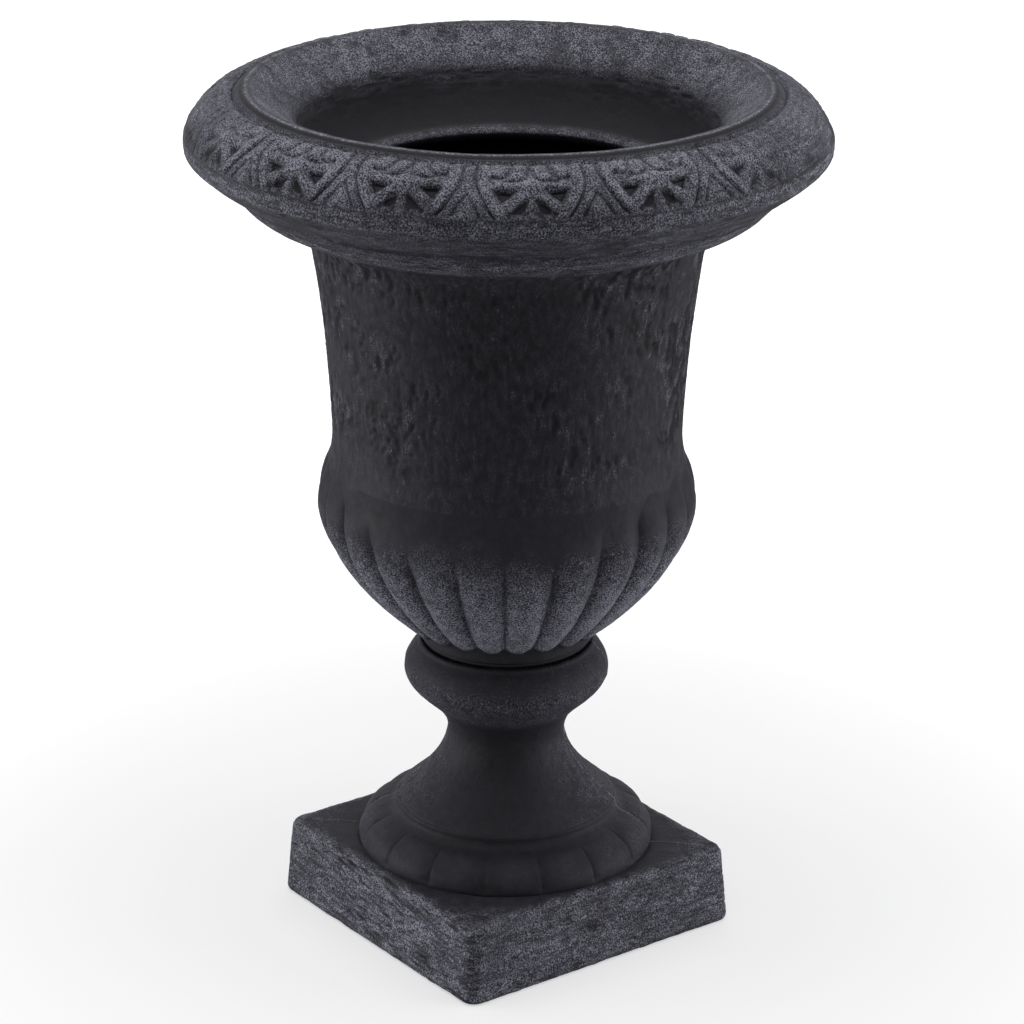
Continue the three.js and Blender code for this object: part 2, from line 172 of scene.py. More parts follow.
class Outline:
    """A closed outline of (radius, height) in millimetres, up the outside and down the inside.

    Each stretch has the spacing of its rows and how far it shows, from 0 to 1, which scales the
    relief on it.
    """

    def __init__(self, radius, height):
        self.start = (radius, height)
        self.at = (radius, height)
        self.rows = []

    def to(self, *handles, spacing=1.2, show=1.0):
        """On to the last handle: straight, or along the Bezier curve of the handles before it."""
        t = np.linspace(0, 1, 300)[:, None]
        curve = [np.array(handle, float) + 0 * t for handle in (self.at, *handles)]
        while len(curve) > 1:
            curve = [(1 - t) * a + t * b for a, b in zip(curve, curve[1:])]
        radius, height = curve[0].T
        along = np.r_[0, np.cumsum(np.hypot(np.diff(radius), np.diff(height)))]
        steps = np.arange(0, along[-1], FINE)
        facts = np.tile((spacing, show), (len(steps), 1))
        where = np.c_[np.interp(steps, along, radius), np.interp(steps, along, height)]
        self.rows.append(np.c_[where, facts])
        self.at = handles[-1]
        return self

    def hidden(self, *points):
        """Straight on through each point in turn, where nothing shows: few rows and no relief."""
        for point in points:
            self.to(point, spacing=8, show=0)
        return self

    def stations(self, softness):
        """Rows of radius, height and show, once round, with corners rounded by a Gaussian blur."""
        loop = np.concatenate(self.to(self.start, spacing=4, show=0).rows)
        reach = round(4 * softness / FINE)
        weights = bell(np.arange(-reach, reach + 1) * FINE, softness * math.sqrt(2))
        weights /= weights.sum()
        soft = [np.convolve(np.r_[c[-reach:], c, c[:reach]], weights, "valid") for c in loop.T]
        count = np.cumsum(FINE / soft[2])
        total = round(count[-1])
        picks = np.arange(total) * count[-1] / total
        return [np.interp(picks, count, soft[i], period=count[-1]) for i in (0, 1, 3)]


def mesh_piece(name, points, polygons, rounded, sand=None):
    """An object from points in millimetres, arrays of corners with a smooth flag, and sand."""
    corners = np.concatenate([np.ravel(faces) for faces in polygons])
    sizes = np.concatenate([np.full(len(faces), faces.shape[1]) for faces in polygons])
    smooth = np.concatenate([np.full(len(faces), flag) for faces, flag in zip(polygons, rounded)])
    mesh = bpy.data.meshes.new(name)
    mesh.vertices.add(len(points))
    mesh.vertices.foreach_set("co", np.ravel(points * MM).astype(np.float32))
    mesh.loops.add(len(corners))
    mesh.loops.foreach_set("vertex_index", corners.astype(np.int32))
    mesh.polygons.add(len(sizes))
    mesh.polygons.foreach_set("loop_start", (np.cumsum(sizes) - sizes).astype(np.int32))
    mesh.polygons.foreach_set("use_smooth", smooth)
    mesh.update(calc_edges=True)
    if sand is not None:
        values = mesh.attributes.new("sand", "FLOAT", "POINT").data
        values.foreach_set("value", np.ravel(sand).astype(np.float32))
    piece = bpy.data.objects.new(name, mesh)
    bpy.context.scene.collection.objects.link(piece)
    return piece


def ring_body(name, points, whole=True, sand=None):
    """A closed body from a grid of points, rows by columns: rows close on themselves, and so do
    the columns, or each end has a flat cap."""
    rows, columns = points.shape[:2]
    number = np.arange(rows * columns).reshape(rows, columns)
    low = number if whole else number[:, :-1]
    right = np.roll(number, -1, 1)[:, : low.shape[1]]
    sides = np.stack([low, right, np.roll(right, -1, 0), np.roll(low, -1, 0)], -1).reshape(-1, 4)
    if whole:
        return mesh_piece(name, points.reshape(-1, 3), [sides], [True], sand)
    caps = np.stack([number[:, 0], number[::-1, -1]])
    return mesh_piece(name, points.reshape(-1, 3), [sides, caps], [True, False], sand)


def solid_body(name, points):
    """A closed body from rings of points, lowest first, with both ends closed on their middles."""
    rows, columns = points.shape[:2]
    number = np.arange(rows * columns).reshape(rows, columns)
    right = np.roll(number, -1, 1)
    sides = np.stack([number[:-1], right[:-1], right[1:], number[1:]], -1).reshape(-1, 4)
    poles = np.array([points[0].mean(0), points[-1].mean(0)])
    low = np.stack([np.full(columns, rows * columns), right[0], number[0]], -1)
    high = np.stack([np.full(columns, rows * columns + 1), number[-1], right[-1]], -1)
    points = np.r_[points.reshape(-1, 3), poles]
    return mesh_piece(name, points, [sides, low, high], [True, False, False])


def columns_round(count):
    """Angles once round, even but for a few more on each side of the mould's parting line."""
    even = np.linspace(0, 2 * math.pi, count, endpoint=False)
    close = np.radians(np.arange(-4, 5) * 0.13)
    return np.unique(np.round(np.r_[even, PARTING + close, PARTING + math.pi + close], 5))


def turned(name, outline, relief=None, columns=720, softness=0.8, span=None):
    """The outline carried round the axis, all the way or over a span of angles.

    relief(angle, place) gives a depth in millimetres, which is added along the outline's outward
    normal (dz, -dr), and a sand value.
    """
    radius, height, show = (a[:, None] for a in outline.stations(softness))
    run = np.roll(radius, -1) - np.roll(radius, 1)
    rise = np.roll(height, -1) - np.roll(height, 1)
    length = np.hypot(run, rise)
    angle = columns_round(columns) if span is None else np.linspace(*span, columns)
    sand = None
    if relief:
        place = radius * np.cos(angle), radius * np.sin(angle), height + 0 * angle
        depth, sand = relief(angle, place)
        depth, sand = show * depth, PLAIN_SAND + show * (sand - PLAIN_SAND)
        radius = radius + depth * rise / length
        height = height - depth * run / length
    grid = np.stack([radius * np.cos(angle), radius * np.sin(angle), height + 0 * angle], -1)
    return ring_body(name, grid, span is None, sand)


def parting_distance(place):
    """The signed distance to the parting plane, which stands at the angle p: x sin p - y cos p."""
    return place[0] * math.sin(PARTING) - place[1] * math.cos(PARTING)


def parting_line(place, height=0.35, width=0.45):
    """The thin line that the mould leaves: an uneven bell of the distance to the parting plane."""
    uneven = 0.75 + 0.6 * cloud(place, 7, 91, 2)
    return height * uneven * bell(parting_distance(place) + 0.25 * cloud(place, 11, 92, 1), width)


# ---- Rim ---------------------------------------------------------------------------------------


def leaf_border(angle, place):
    """Sixteen leaves in arched frames with a dart between each two, on the sloping band.

    x runs across a leaf and q is |x|, since a leaf's halves mirror each other. The band's height
    is a quadratic of t, start + rise t - sag t^2, and y runs down the band as 1 - t. The highest
    of the domes, bars and lobes counts at each point, and then grooves and hollows are cut.
    Towards the mould's parting line the leaves are worn and scratched.
    """
    turn = (angle - LEAF_PHASE) * LEAVES / (2 * math.pi)
    leaf = np.round(turn)
    least = (BAND_RISE - 2 * BAND_SAG) ** 2
    slope = np.clip(BAND_RISE**2 - 4 * BAND_SAG * (place[2] - BAND_START), least, BAND_RISE**2)
    t = (BAND_RISE - np.sqrt(slope)) / (2 * BAND_SAG)
    x = (turn - leaf) * LEAF_WIDTH + 0.9 * cloud(place, 13, 11, 3) + 0.8 * np.sin(leaf * 5.1)
    y = (1 - t) * BAND_HEIGHT + 0.7 * cloud(place, 12, 14, 3) + 0.4 * np.sin(leaf * 3.7)
    q = np.abs(x)
    frame_half, frame_taper, arch_from = 31.8, 12.8, 11.0
    down = np.clip((y - arch_from) / (BAND_HEIGHT - arch_from), 0, 1)
    inside = frame_half - frame_taper * down**1.7 - q
    ground = ramp(inside, 6.6, 8.4)
    frame_band = 0.8 * np.sqrt(np.clip(1 - ((inside - 3.9) / 3.8) ** 2, 0, 1)) * (1 - ground)

    leg = line_distance(q, y, (0, 20.5), (8, 26.5), (18.5, 34.5))
    raised = [
        1.0 * mound(q, y, (6.8, 7.6), (6.8, 6.8)),
        1.3 * mound(q, y, (17.2, 5.0), (6.2, 6.2)),
        1.2 * ramp(3.6 - np.abs(y - 16.6), 0, 2.6) * ramp(21 - q, 0, 3.5),
        1.9 * mound(q, y, (0, 17.4), (8, 5)),
        1.5 * np.sqrt(np.clip(1 - (leg / 4.3) ** 2, 0, 1)),
        0.9 * mound(q, y, (0, 31), (3.8, 8)),
        1.5 * mound(q, y, (0, 38.2), (4.4, 3.4)),
        1.4 * mound(q, y, (8.2, 37.4), (3.2, 2.4)),
    ]
    inner_dome = (0.2, 2.2), (1.4, 8), (3.2, 11.9), (7, 13.7), (15.5, 13.5)
    outer_dome = (11.3, 2.6), (12.2, 7), (15, 10.3), (18.8, 11.4), (22.2, 9.6)
    cuts = [
        1.2 * bell(line_distance(q, y, *inner_dome), 1.1),
        1.3 * bell(line_distance(q, y, *outer_dome), 1.2),
        0.8 * bell(line_distance(q, y, (22.4, 9.8), (23.5, 14)), 1.2),
        2.6 * ramp(inside_triangle(q, y, (21.8, 19.4), (8.4, 20.6), (16.6, 28.8)), -0.8, 2.4),
        1.6 * ramp(mound(q, y, (5.8, 30.8), (3.0, 7.0), -0.59), 0, 1.0),
    ]
    lowered = 1.3 * ramp(y, 17, 24)
    inner = np.maximum.reduce(raised) - lowered - sum(cuts)

    beside = LEAF_WIDTH / 2 - q
    dart = line_distance(beside, y, (0, 23), (4.6, 31), (9.6, 40))
    between = -1.4 * bell(dart, 1.0) + 0.6 * ramp(y, 24, 34) * bell(beside, 4.5)
    relief = ground * inner + frame_band + ramp(-inside, 0, 2) * between
    relief = relief - 1.7 * bell(inside, 1.0)

    off = np.abs(parting_distance(place))
    worn = 1 - ramp(off, 55, 160)
    dragged = cloud((angle * 21, y, 0 * y), 1.7, 19, 3) * (1 - ramp(off, 40, 115))
    relief = relief * ramp(y, -0.2, 1.8) * ramp(BAND_HEIGHT - y, -0.4, 2.4) * (1 - 0.85 * worn)
    # Painted light and shade in the sand: raised parts are paler and grooves darker, partly dark
    # resin in the recesses and partly painted shade; the band's lower slope is darker as painted
    # shade of the light from above.
    low = ramp(y, 25, 38)
    sand = 0.68 + 0.23 * relief - 0.28 * low + 0.25 * cloud(place, 20, 18, 3)
    sand = sand - 0.22 * worn + 0.45 * dragged
    return -0.4 + relief + 0.55 * dragged + resin_skin(place), np.clip(sand, 0.03, 1.1)


def resin_skin(place):
    """The uneven skin of the moulding: slow waves, lumps of a few millimetres and sand."""
    waves, lumps, grit = cloud(place, 42, 21, 2), cloud(place, 7, 24, 2), cloud(place, 2.2, 27, 2)
    return 0.3 * waves + 0.17 * lumps + 0.1 * grit


def nearness(angle):
    """1 in the plane where the mould's halves meet, and 0 a quarter turn away from it."""
    return np.cos(angle - PARTING) ** 2


def rim_relief(angle, place):
    """Skin with marks dragged level round the piece, nine times as long as they are high."""
    z = place[2]
    side = nearness(angle)
    marks = cloud(place, (20, 20, 2.2), 31, 3)
    skin = 0.3 * cloud(place, 42, 34, 2) + 0.45 * marks - 0.7 * ramp(marks, 0.3, 0.6)
    edge = ramp(z, *RIM_EDGE)
    ring = bell(z - UNDER_RING, 6)
    # Painted light and shade in the sand: the upright edge, the ring and the marks grow paler
    # towards the parting line, a painted highlight of the light from the sides, and the two
    # grooves are darkened as painted shade.
    sand = 0.22 + (0.22 + 0.2 * side) * edge + (0.08 + 0.25 * side) * ring
    sand = sand + (0.2 + 0.4 * side) * marks
    sand = sand - 0.08 * bell(z - RING_GROOVE, 2) - 0.12 * bell(z - EDGE_GROOVE, 2.5)
    return skin - 0.2 + parting_line(place, 0.3, 0.6), np.clip(sand, 0.03, 1)


def mouth_relief(angle, place):
    """Skin over the bead, and long shallow scratches that run round the funnel."""
    radius, z = np.hypot(place[0], place[1]), place[2]
    scratch = cloud((angle * 16, 0 * angle + radius / 1.1, z / 1.1), 1.9, 41, 3)
    worn = 0.3 + 0.7 * ramp(cloud(place, 36, 44, 2), -0.2, 0.4)
    ledge = worn * bell(radius - LEDGE, 9)
    cuts = ledge * ramp(scratch, 0.2, 0.6)
    # Painted light and shade in the sand: the funnel's upper slope is pale and its steep wall
    # dark, partly sand and partly painted light and shade of the well; the bead's crest and the
    # lip's top carry a painted highlight, and the bead's outer wall is lightened with painted
    # light where it lies in shade.
    slope = ramp(radius, 125, 140) * ramp(160 - radius, 0, 4)
    sand = 0.62 * slope * (1 + 0.6 * cloud(place, 18, 46, 3)) + 0.4 * ledge * scratch - 0.5 * cuts
    sand = sand + 0.2 * ramp(radius, 157, 160) * ramp(163 - radius, 0, 2)
    sand = sand + 0.85 * bell(radius - BEAD_CREST, 1.0) + 0.45 * ramp(radius, 165.5, 168.5)
    sand = sand + 0.34 * bell(radius - LIP, 3) * ramp(z, 499, 502)
    return resin_skin(place) - 0.2 + 0.5 * ledge * scratch - 1.3 * cuts, np.clip(sand, 0, 1.1)


def make_rim():
    """The rim: two halves of the ornamented band, the bead and funnel, and the underside."""
    pieces = []
    for name, start in (("rim_border_front", PARTING - math.pi), ("rim_border_back", PARTING)):
        band = Outline(200.2, 530.6).to((200.0, BAND_START), spacing=0.6)
        band.to((192.5, 551), (173.0, 556.6), spacing=0.6)
        band.to((171.2, 556.5), (169.6, 553.9), spacing=0.6)
        band.hidden((168.6, 551.5), (172, 550.5), (190, 543), (196, 531))
        span = (start, start + math.pi)
        pieces.append(turned(name, band, leaf_border, columns=1200, softness=0.45, span=span))

    mouth = Outline(172.0, 551.4).to((170.2, 554.0), spacing=1)
    mouth.to((166.8, 558.4), (164.4, 560), (161, 559.9), spacing=0.9)
    mouth.to((157, 559.9), (155, 557.4), spacing=1)
    mouth.to((141, 548), (131, 537), spacing=1.3)
    mouth.to((126, 523), (114, 509), (101, 503.2), spacing=1.3)
    mouth.to((99, 501.2), spacing=1).to((100, 497), spacing=1).to((102, 496), spacing=1)
    mouth.hidden((112, 499), (124, 512), (134, 530), (150, 548), (161, 555))
    pieces.append(turned("rim_mouth", mouth, mouth_relief, columns=860, softness=0.6))

    under = Outline(143.5, 481.8).to((146.8, NECK_TOP), spacing=1, show=0)
    under.to((148.6, 482.4), spacing=1)
    under.to((159.5, 484.4), (170.6, 498), spacing=1.2).to((173.2, 502), spacing=1)
    under.to((185.5, 508), (197.3, 518.8), spacing=1.2).to((200, 521.6), spacing=0.9)
    under.to((201, 526), (200.3, 530.8), spacing=0.9).to((198.4, 533.6), spacing=1, show=0)
    under.hidden((195, 530), (196, 524), (172, 507), (148, 487), (143, 485))
    pieces.append(turned("rim_underside", under, rim_relief, columns=900, softness=0.7))
    return pieces


# ---- Neck and bowl -----------------------------------------------------------------------------


def neck_relief(angle, place):
    """Skin with narrow upright pits, as in worn bark: dense beside the mould's parting line, and
    few between. Pale sand lies on the ridges between them, more of it towards the parting line,
    which is partly a painted highlight of the light from the sides."""
    marks = cloud(place, (3.6, 3.6, 6.5), 51, 2)
    patches = 0.2 + 0.8 * ramp(cloud(place, 26, 54, 2), -0.3, 0.3)
    foot = 1 - ramp(place[2], *NECK_FADE)
    side = (0.1 + 0.9 * nearness(angle) ** 0.8) * (1 - foot)
    pits = patches * ramp(marks + 0.16 * side, 0.22, 0.46) * (0.35 + 0.65 * side)
    ridges = ramp(-marks, 0.0, 0.35)
    depth = 0.8 * side * patches * marks - 1.7 * pits * (1 - foot)
    # Painted highlight: the ridges' sand grows towards the parting line, partly real sand and
    # partly a painted highlight of the light from the sides.
    sand = (0.06 + 0.01 * foot + side * patches * (0.02 + 0.22 * ridges)) * (1 - pits)
    skin = resin_skin(place) * (1 + 0.6 * foot)
    return skin + depth + parting_line(place, 0.3, 0.5) - 0.1, np.clip(sand, 0, 1)


def gadroon_relief(angle, place):
    """Convex lobes with sharp grooves: d (a^2 + 1 - sqrt(1 - a^2)) / 2, where a is 0 on a lobe's
    crest and 1 in the groove. They start as round tips, deepen to the belly, and close in arches
    under the neck, which are clear beside the mould's parting line and fade between."""
    z = place[2]
    side = nearness(angle)
    turns = angle * GADROONS / (2 * math.pi) + 0.02 * cloud(place, 60, 61, 1)
    across = 2 * np.abs(turns - np.round(turns))
    high = ARCH_FOOT + 22 * ramp(side, 0.15, 0.6)
    depth = 5.6 * (0.5 + 0.5 * ramp(z, 207, 257)) * (1 - ramp(z, high - 34 + 14 * side, high))
    arch = np.clip((z - ARCH_FOOT) / 20, 0, 0.97)
    tip = np.clip((212.5 - z) / 7.5, 0, 0.97)
    width = np.sqrt(1 - arch**2) * np.sqrt(1 - tip**2)
    a = np.clip(across / width, 0, 1)
    lobes = -depth * (0.5 * a**2 + 0.5 * (1 - np.sqrt(1 - 0.985 * a**2)))
    fade = ramp(z, 205.2, 207.5)
    shoulder = ramp(z, 288, 308)
    skin = resin_skin(place) * (1 + 0.6 * shoulder)
    patches = cloud(place, 24, 64, 3)
    # Painted light and shade in the sand: the lower lobes are paler, partly sand and partly
    # painted light from the floor below; the grooves between lobes are darker as painted shade;
    # the mould's line is paler, partly a painted highlight on its crest.
    low = (1 - ramp(z + 12 * patches, 232, 304)) * ramp(z, 206, 212)
    sand = 0.05 + 1.05 * low * (1 - 0.6 * a**3) * (1 + 0.5 * patches)
    line = parting_line(place, 0.35, 0.5) * shoulder
    return lobes * fade + skin + line - 0.1, np.clip(sand + 0.6 * line, 0, 1)


def plain_skin(angle, place):
    """The moulding's skin, set back a little, with the sand of the walls inside."""
    return resin_skin(place) - 0.3, PLAIN_SAND + 0 * place[2]


def make_neck_and_bowl():
    """The neck with its cove, the gadrooned bowl, and the bowl's floor with its two holes."""
    neck = Outline(110, 313).to((114.5, 314.2), spacing=1, show=0)
    neck.to((112.6, 320.6), (111.0, 327), (111.1, 338), spacing=1.3)
    neck.to((113.8, 409), (124, 465), spacing=1.3)
    neck.to((128.4, 477.4), (146.5, NECK_TOP), spacing=1.2)
    neck.hidden((148, 482.5), (143, 484.5), (126, 481), (120, 466), (109.4, 400), (106.8, 325))
    neck = turned("vase_neck", neck, neck_relief, columns=560)

    bowl = Outline(53.3, VASE_SEAT).to((56.4, VASE_SEAT), spacing=1.5)
    bowl.to((56.4, 201.5), spacing=1.2)
    bowl.to((56.4, 204.8), (65.5, 206.6), spacing=1)
    bowl.to((84, 222), (121, 258), (121, 291), spacing=1.45)
    bowl.to((121, 303), (115, 313), (110.6, 325.2), spacing=1.6)
    bowl.hidden((108.8, 326), (106.8, 324), (108, 309)).to((111.5, 291), spacing=8, show=0)
    bowl.to((111.5, 258), (74.5, 222), (56, 207), spacing=8, show=0).hidden((53.3, 202.2))
    bowl = turned("vase_bowl", bowl, gadroon_relief, columns=GADROONS * 30)

    floor = Outline(BOLT_BORE, VASE_SEAT).to((53, VASE_SEAT), spacing=3, show=0)
    floor.to((53, BOWL_FLOOR), spacing=1, show=0)
    floor.to((BOLT_BORE, BOWL_FLOOR), spacing=3, show=0.6)
    floor.to((BOLT_BORE, VASE_SEAT), spacing=2, show=0)
    floor = turned("bowl_floor", floor, plain_skin, columns=96, softness=0.3)
    drill(floor, DRAIN_PLACE, radius=8.0, low=VASE_SEAT - 6.1, high=BOWL_FLOOR + 6)
    return [neck, bowl, floor]


def drill(piece, x, radius, low, high):
    """Cuts an upright round hole through a piece, and leaves the result as its mesh."""
    rings = ring_points([(radius, low), (radius, high)], 64, x)
    tool = solid_body("drill", rings)
    cut = piece.modifiers.new("hole", "BOOLEAN")
    cut.operation = "DIFFERENCE"
    cut.object = tool
    bpy.context.view_layer.update()
    graph = bpy.context.evaluated_depsgraph_get()
    made = bpy.data.meshes.new_from_object(piece.evaluated_get(graph))
    piece.modifiers.clear()
    old, piece.data = piece.data, made
    bpy.data.meshes.remove(old)
    made.name = piece.name
    bpy.data.objects.remove(tool)


# ---- Pedestal ----------------------------------------------------------------------------------


def stem_relief(angle, place):
    """Skin, with shallow marks dragged down the flare beside the mould's parting line."""
    z = place[2]
    flare = ramp(FLARE_TOP - z, 0, 12)
    side = nearness(angle)
    marks = cloud(place, (3.4, 3.4, 9), 71, 3)
    dragged = flare * side * (0.4 * marks - 0.7 * ramp(marks, 0.25, 0.6))
    knop = ramp(z, 143, 154) * (1 - 0.8 * ramp(z, 168, 182))
    line = parting_line(place, 0.4, 0.6)
    # Painted light in the sand: the knop is paler below and darker at its top, partly sand and
    # partly painted light from the floor below; the mould's line is paler, partly a painted
    # highlight on its crest.
    sand = 0.04 + 0.17 * knop + 0.04 * side + 0.11 * flare * side**3 * (1 + 2 * marks)
    sand = sand + 2.2 * line
    return resin_skin(place) + dragged + line - 0.1, np.clip(sand, 0, 1)


def foot_relief(angle, place):
    """Sixteen shallow lobes on the torus, a thin groove between each two, and a plain bead."""
    z = place[2]
    turns = angle * FOOT_LOBES / (2 * math.pi)
    across = 2 * np.abs(turns - np.floor(turns) - 0.5)
    arc = (1 - across) * math.pi / FOOT_LOBES * np.hypot(place[0], place[1])
    belly = ramp(z, 52, 57) * ramp(74.5 - z, 0, 4)
    side = nearness(angle)
    lobes = -1.1 * across**2.4 - (0.1 + 0.8 * side) * bell(arc, 1.2)
    line = parting_line(place, 0.4, 0.6)
    worn = side**3 * (1 + cloud(place, 9, 76, 3))
    # The mould's line is paler in the sand, partly real and partly a painted highlight on its
    # crest.
    sand = 0.03 + 0.04 * belly * (1 - across) + 0.08 * worn + 2.2 * line
    return belly * lobes + resin_skin(place) + line - 0.1, np.clip(sand, 0, 1)


def plinth_relief(angle, place, upright):
    """Level streaks and long pits on the upright sides, sand and low lumps on the top."""
    x, y, z = place
    streaks = cloud((x, y, z + 0.12 * x), (14, 14, 2.2), 81, 3)
    patches = 0.3 + 0.7 * ramp(cloud(place, 26, 84, 2), -0.4, 0.2)
    pits = ramp(streaks, 0.12, 0.42)
    rough = 0.35 + 0.65 * ramp(np.abs(y) - np.abs(x), -12, 30)
    sides = rough * patches * (0.9 * streaks - 2.0 * pits)
    edge = np.maximum(np.abs(x), np.abs(y))
    line = (1 - upright) * parting_line(place, 0.4, 0.6)
    spread = 0.16 * ramp(np.hypot(x, y), 102, 130) + 0.4 * ramp(edge, 94, 104)
    # The mould's line on the top is paler in the sand, partly real and partly a painted highlight
    # on its crest.
    top = 0.06 + spread * (1 + 1.2 * cloud(place, 9, 88, 3)) + 2.2 * line
    side = 0.38 + 0.16 * rough + rough * patches * (1.5 * streaks - 0.3 * pits)
    side = side + 0.2 * cloud(place, 30, 89, 2)
    sand = (1 - upright) * top + upright * side
    lumps = (1 - upright) * 0.35 * cloud(place, 10, 87, 3)
    depth = upright * sides + lumps + 1.3 * resin_skin(place) + line - 0.15
    return depth, np.clip(sand, 0, 1.1)


def square_columns(corner, half, count):
    """Columns round a square with rounded corners, even along its edge, with more beside the
    parting line. Each has a place on the square's core, from -1 to 1, and an outward direction."""
    straight = 2 * (half - corner)
    bend = corner * math.pi / 2
    quarter = straight + bend
    middles = quarter * np.array([1, 3]) - bend / 2
    along = np.linspace(0, 4 * quarter, count, endpoint=False)
    close = (middles[:, None] + np.arange(-4, 5) * 0.35).ravel()
    along = np.unique(np.round(np.r_[along, close], 2))
    side = np.floor(along / quarter)
    rest = along - side * quarter
    turn = np.clip((rest - straight) / bend, 0, 1) * math.pi / 2
    core = np.array([np.ones_like(rest), np.clip(rest / straight, 0, 1) * 2 - 1])
    out = np.array([np.cos(turn), np.sin(turn)])
    c, s = np.cos(side * math.pi / 2), np.sin(side * math.pi / 2)
    return [np.array([c * a[0] - s * a[1], s * a[0] + c * a[1]]) for a in (core, out)]


def make_plinth():
    """The square plinth: rows of rounded squares, which turn round on the top towards the foot."""
    corner = 9.0
    outline = Outline(103.6, 0.05).to((106.9, 0.05), (106.9, 3.6), spacing=0.7)
    outline.to((103.9, 47.5), spacing=1.0)
    outline.to((103.6, PLINTH_TOP), (98.5, PLINTH_TOP), spacing=0.7)
    outline.to((92, PLINTH_TOP), spacing=1.6)
    outline.hidden((90, 51.5), (90.5, 48.6), (99.7, 48.5), (97, 4), (97, 0.05))
    half, height, show = (a[:, None] for a in outline.stations(0.9))
    run = np.roll(half, -1) - np.roll(half, 1)
    rise = np.roll(height, -1) - np.roll(height, 1)
    length = np.hypot(run, rise)
    core, out = square_columns(corner, 107, 850)
    square = (half - corner)[..., None] * core.T + corner * out.T
    angle = np.arctan2(square[..., 1], square[..., 0])
    circle = half[..., None] * np.stack([np.cos(angle), np.sin(angle)], -1)
    share = (np.clip((101.5 - half) / 9, 0, 1) * ramp(height, 44, 48))[..., None]
    flat = (1 - share) * square + share * circle
    place = flat[..., 0], flat[..., 1], height + 0 * angle
    upright = ramp(rise / length, 0.2, 0.8)
    depth, sand = plinth_relief(angle, place, upright)
    depth = np.minimum(show * depth, 0.4 * ramp(height, 0, 3) + 0.1)
    flat = flat + (depth * rise / length)[..., None] * out.T
    grid = np.concatenate([flat, (height - depth * run / length)[..., None]], -1)
    grid[..., 2] = np.maximum(grid[..., 2], 0.0)
    return ring_body("plinth", grid, True, sand)


def make_pedestal():
    """The plinth, the lobed foot, the stem with its knop, and the plate under the vase."""
    foot = Outline(93.5, 51.5).to((96, 51.6), spacing=1, show=0).to((96.3, 52.6), spacing=1)
    foot.to((97.8, 59.3), (93.3, 70), (80, 73), spacing=0.8)
    foot.to((73, 74), (72, 79), spacing=0.8).to((72.9, 81.6), (70.4, 83.1), spacing=0.8)
    foot.hidden((67, 83.4), (65.4, 81), (70, 74), (80, 69), (90.5, 64))
    foot = turned("foot", foot, foot_relief, columns=960, softness=0.7)

    stem = Outline(66.5, 81.5).to((71.2, 82.3), spacing=1, show=0).to((69.3, 84.2), spacing=1)
    stem.to((59, 93), (40, 108), (38, 130), spacing=1.1)
    stem.to((38, 150), (66.2, 157), (66.2, 173), spacing=1.0)
    stem.to((66.2, 182), (57.5, 190), spacing=1.0).to((56.5, PEDESTAL_TOP), spacing=1.0)
    stem.hidden((53.3, PEDESTAL_TOP), (53.3, PLATE_UNDERSIDE), (61, 184))
    stem.to((62.2, 173), spacing=8, show=0)
    stem.to((62.2, 160), (34, 153), (34, 130), spacing=8, show=0)
    stem.to((34, 108), (54, 93), (65, 80), spacing=8, show=0)
    stem = turned("stem", stem, stem_relief, columns=560)

    plate = Outline(BOLT_BORE, PLATE_UNDERSIDE).to((53, PLATE_UNDERSIDE), spacing=3, show=0)
    plate.to((53, PEDESTAL_TOP), spacing=1, show=0)
    plate.to((BOLT_BORE, PEDESTAL_TOP), spacing=3, show=0)
    plate.to((BOLT_BORE, PLATE_UNDERSIDE), spacing=2, show=0)
    plate = turned("stem_top_plate", plate, plain_skin, columns=96, softness=0.3)
    drill(plate, DRAIN_PLACE, radius=9.5, low=PLATE_UNDERSIDE - 8, high=PEDESTAL_TOP + 7.1)
    return [make_plinth(), foot, stem, plate]


# ---- Gasket, bolt set and drain plug -----------------------------------------------------------


def ring_points(profile, sides, x=0.0):
    """Rings of points round an upright axis at x, one for each (radius, height)."""
    radius, height = (np.array(a)[:, None] for a in zip(*profile))
    angle = np.linspace(0, 2 * math.pi, sides, endpoint=False)
    return np.stack([x + radius * np.cos(angle), radius * np.sin(angle), height + 0 * angle], -1)


def flat_ring(name, inner, outer, low, thickness, edge):
    """A washer or gasket with rounded outer edges."""
    high = low + thickness
    ring = Outline(inner, low).to((outer - edge, low), spacing=1.5)
    ring.to((outer, low), (outer, low + edge), spacing=0.3)
    ring.to((outer, high - edge), spacing=0.5)
    ring.to((outer, high), (outer - edge, high), spacing=0.3)
    ring.to((inner, high), spacing=1.5).to((inner, low), spacing=0.5)
    return turned(name, ring, columns=96, softness=0.12)


def make_seals_and_washers():
    """The gasket between the mouldings, the bolt's seal, and the washers at its head and nut."""
    washer = {"inner": BOLT_BORE, "outer": 11.9, "thickness": 1.5, "edge": 0.4}
    return [
        flat_ring("joint_gasket", inner=42.6, outer=54.4, low=193.4, thickness=2.2, edge=0.8),
        flat_ring("bolt_seal_ring", BOLT_BORE, outer=13.9, low=202.35, thickness=1.9, edge=0.7),
        flat_ring("bolt_washer_ring", low=204.65, **washer),
        flat_ring("nut_washer_ring", low=186.15, **washer),
    ]


